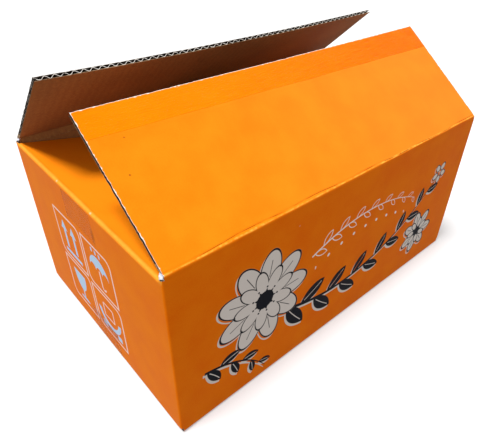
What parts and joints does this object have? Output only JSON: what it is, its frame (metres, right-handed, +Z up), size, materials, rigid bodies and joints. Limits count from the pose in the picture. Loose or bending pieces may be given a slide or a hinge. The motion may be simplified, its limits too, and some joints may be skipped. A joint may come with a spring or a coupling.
{
  "type": "slotted cardboard carton",
  "caption": "Rectangular corrugated cardboard carton, opened, with long top flaps that turn on their creases, folded-in end flaps and a taped bottom.",
  "frame": {"origin": "centre of the base, on the surface that the carton stands on", "axes": "+X along the long panels, towards the panel with the glued corner behind it; -Y out of the front panel; +Z up"},
  "size_m": [0.3562, 0.225, 0.229],
  "materials": {
    "printed_board": "satin print on corrugated board",
    "clear_tape": "clear gloss film"
  },
  "bodies": {
    "carton": {"carton_body": "printed_board", "bottom_tape": "clear_tape", "left_end_tape": "clear_tape", "right_end_tape": "clear_tape"},
    "front_flap": {"front_flap": "printed_board", "front_flap_tape": "clear_tape"},
    "rear_flap": {"rear_flap": "printed_board", "rear_flap_tape": "clear_tape"}
  },
  "joints": [
    {"name": "front_flap_crease", "type": "hinge", "parent": "carton", "child": "front_flap", "pos_m": [0, -0.1127, 0.1562], "axis": [1, 0, 0], "range_deg": [-36.8, 228.2]},
    {"name": "rear_flap_crease", "type": "hinge", "parent": "carton", "child": "rear_flap", "pos_m": [0, 0.1127, 0.1562], "axis": [-1, 0, 0], "range_deg": [-41, 224]}
  ]
}
